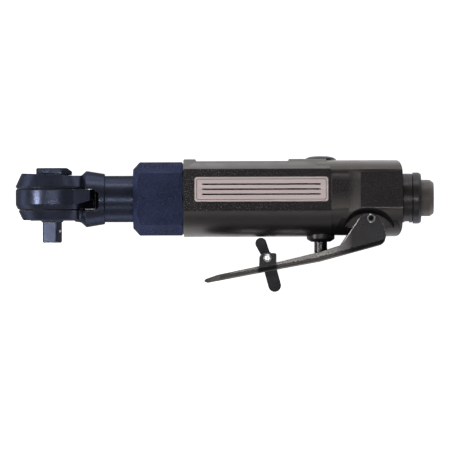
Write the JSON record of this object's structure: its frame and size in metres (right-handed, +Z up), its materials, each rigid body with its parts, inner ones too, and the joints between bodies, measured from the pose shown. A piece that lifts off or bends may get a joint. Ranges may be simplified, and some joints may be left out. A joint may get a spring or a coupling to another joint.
{
  "type": "air ratchet",
  "caption": "Compact pneumatic ratchet wrench: square drive and reverse knob on a forked head, octagonal clamp nut, vane motor body, bent throttle lever with a lock-off catch.",
  "frame": {"origin": "centre of the square drive's end face", "axes": "+X along the tool toward the air inlet, -Y the way the square drive points, +Z up from the bench that the tool lies on with its flat side"},
  "size_m": [0.1673, 0.0542, 0.0298],
  "materials": {
    "blue_steel": "satin",
    "navy_steel": "matte",
    "black_powder_coat": "satin",
    "gunmetal_sheet": "gloss",
    "silver_plate": "satin",
    "bright_steel": "gloss",
    "dark_steel": "satin",
    "bronze": "satin",
    "black_rubber": "matte",
    "fibre_resin": "matte",
    "grey_plastic": "matte"
  },
  "bodies": {
    "housing": {"motor_housing": "black_powder_coat", "head_housing": "blue_steel", "clamp_nut": "navy_steel", "name_plate": "silver_plate", "valve_bushing": "dark_steel", "valve_cap": "black_powder_coat", "valve_spring": "bright_steel", "lever_pin": "bright_steel", "inlet_bushing": "black_powder_coat", "inlet_screen": "bronze", "exhaust_muffler": "fibre_resin", "ring_gear": "bright_steel", "crank_bearing": "bright_steel", "front_end_plate": "dark_steel", "front_bearing": "bright_steel", "motor_cylinder": "dark_steel", "rear_end_plate": "dark_steel", "rear_bearing": "bright_steel", "thrust_washer_upper": "dark_steel", "thrust_washer_lower": "dark_steel"},
    "yoke": {"ratchet_yoke": "blue_steel"},
    "anvil": {"anvil": "blue_steel", "pawl_pin": "bright_steel", "anvil_retaining_ring": "bright_steel", "detent_spring": "bright_steel"},
    "pawl": {"pawl": "bright_steel"},
    "reverse_knob": {"reverse_knob": "blue_steel", "reverse_plunger": "bright_steel", "plunger_spring": "bright_steel"},
    "detent_ball": {"detent_ball": "bright_steel"},
    "crankshaft": {"crankshaft": "bright_steel", "planet_pin_1": "bright_steel", "planet_pin_2": "bright_steel", "planet_pin_3": "bright_steel"},
    "drive_bushing": {"drive_bushing": "dark_steel"},
    "rotor": {"rotor": "bright_steel", "rotor_vane_1": "fibre_resin", "rotor_vane_2": "fibre_resin", "rotor_vane_3": "fibre_resin", "rotor_vane_4": "fibre_resin"},
    "planet_1": {"planet_gear_1": "bright_steel"},
    "planet_2": {"planet_gear_2": "bright_steel"},
    "planet_3": {"planet_gear_3": "bright_steel"},
    "throttle_lever": {"throttle_lever": "gunmetal_sheet", "lock_rivet": "bright_steel", "lock_spring": "bright_steel"},
    "lock_lever": {"lock_lever": "gunmetal_sheet"},
    "valve_stem": {"valve_stem": "dark_steel", "valve_seal": "black_rubber"},
    "exhaust_deflector": {"exhaust_deflector": "black_powder_coat"},
    "inlet_plug": {"inlet_plug": "grey_plastic"}
  },
  "joints": [
    {"name": "lever_hinge", "type": "hinge", "parent": "housing", "child": "throttle_lever", "pos_m": [0.1273, 0.0094, 0], "axis": [0, 0, 1], "range_deg": [-7.5, 0], "stiffness_Nm_per_rad": 0.8, "springref_deg": 6.88},
    {"name": "valve_slide", "type": "slide", "parent": "housing", "child": "valve_stem", "axis": [0, 1, 0], "range_m": [0, 0.0031], "deforming": ["valve_spring"]},
    {"name": "lock_hinge", "type": "hinge", "parent": "throttle_lever", "child": "lock_lever", "pos_m": [0.0859, -0.0063, 0], "axis": [0, 0, 1], "range_deg": [0, 78]},
    {"name": "yoke_swing", "type": "hinge", "parent": "housing", "child": "yoke", "pos_m": [0, 0.0174, 0], "axis": [0, 1, 0], "range_deg": [-5.5, 5.5]},
    {"name": "anvil_turn", "type": "hinge", "parent": "housing", "child": "anvil", "pos_m": [0, 0.0174, 0], "axis": [0, 1, 0], "continuous": true},
    {"name": "knob_turn", "type": "hinge", "parent": "anvil", "child": "reverse_knob", "pos_m": [0, 0.0174, 0], "axis": [0, 1, 0], "range_deg": [0, 50]},
    {"name": "pawl_rock", "type": "hinge", "parent": "anvil", "child": "pawl", "pos_m": [0.0054, 0.0174, 0], "axis": [0, 1, 0], "range_deg": [-8, 0]},
    {"name": "ball_press", "type": "slide", "parent": "anvil", "child": "detent_ball", "axis": [0.9489, 0, 0.3156], "range_m": [-0.0005, 0], "stiffness_N_per_m": 200, "springref_m": 0.0002, "deforming": ["detent_spring"]},
    {"name": "crank_turn", "type": "hinge", "parent": "housing", "child": "crankshaft", "pos_m": [0.03, 0.0174, 0], "axis": [1, 0, 0], "continuous": true},
    {"name": "bushing_turn", "type": "hinge", "parent": "crankshaft", "child": "drive_bushing", "pos_m": [0.016, 0.0189, 0], "axis": [1, 0, 0], "continuous": true},
    {"name": "rotor_turn", "type": "hinge", "parent": "housing", "child": "rotor", "pos_m": [0.069, 0.0174, 0], "axis": [1, 0, 0], "continuous": true},
    {"name": "planet_turn_1", "type": "hinge", "parent": "crankshaft", "child": "planet_1", "pos_m": [0.045, 0.02349, 0], "axis": [1, 0, 0], "continuous": true},
    {"name": "planet_turn_2", "type": "hinge", "parent": "crankshaft", "child": "planet_2", "pos_m": [0.045, 0.01435, 0.00527], "axis": [1, 0, 0], "continuous": true},
    {"name": "planet_turn_3", "type": "hinge", "parent": "crankshaft", "child": "planet_3", "pos_m": [0.045, 0.01435, -0.00527], "axis": [1, 0, 0], "continuous": true},
    {"name": "deflector_turn", "type": "hinge", "parent": "housing", "child": "exhaust_deflector", "pos_m": [0.142, 0.0174, 0], "axis": [1, 0, 0], "continuous": true},
    {"name": "plug_pull", "type": "slide", "parent": "housing", "child": "inlet_plug", "axis": [1, 0, 0], "range_m": [0, 0.015]}
  ],
  "couplings": [
    {"joint": "valve_slide", "follows": "lever_hinge", "m_per_rad": -0.0233},
    {"joint": "lock_hinge", "follows": "lever_hinge", "ratio": -10.4},
    {"joint": "pawl_rock", "follows": "knob_turn", "ratio": -0.16},
    {"joint": "bushing_turn", "follows": "crank_turn", "ratio": -1},
    {"joint": "rotor_turn", "follows": "crank_turn", "ratio": 4.6667},
    {"joint": "planet_turn_1", "follows": "crank_turn", "ratio": -2.75},
    {"joint": "planet_turn_2", "follows": "crank_turn", "ratio": -2.75},
    {"joint": "planet_turn_3", "follows": "crank_turn", "ratio": -2.75}
  ]
}
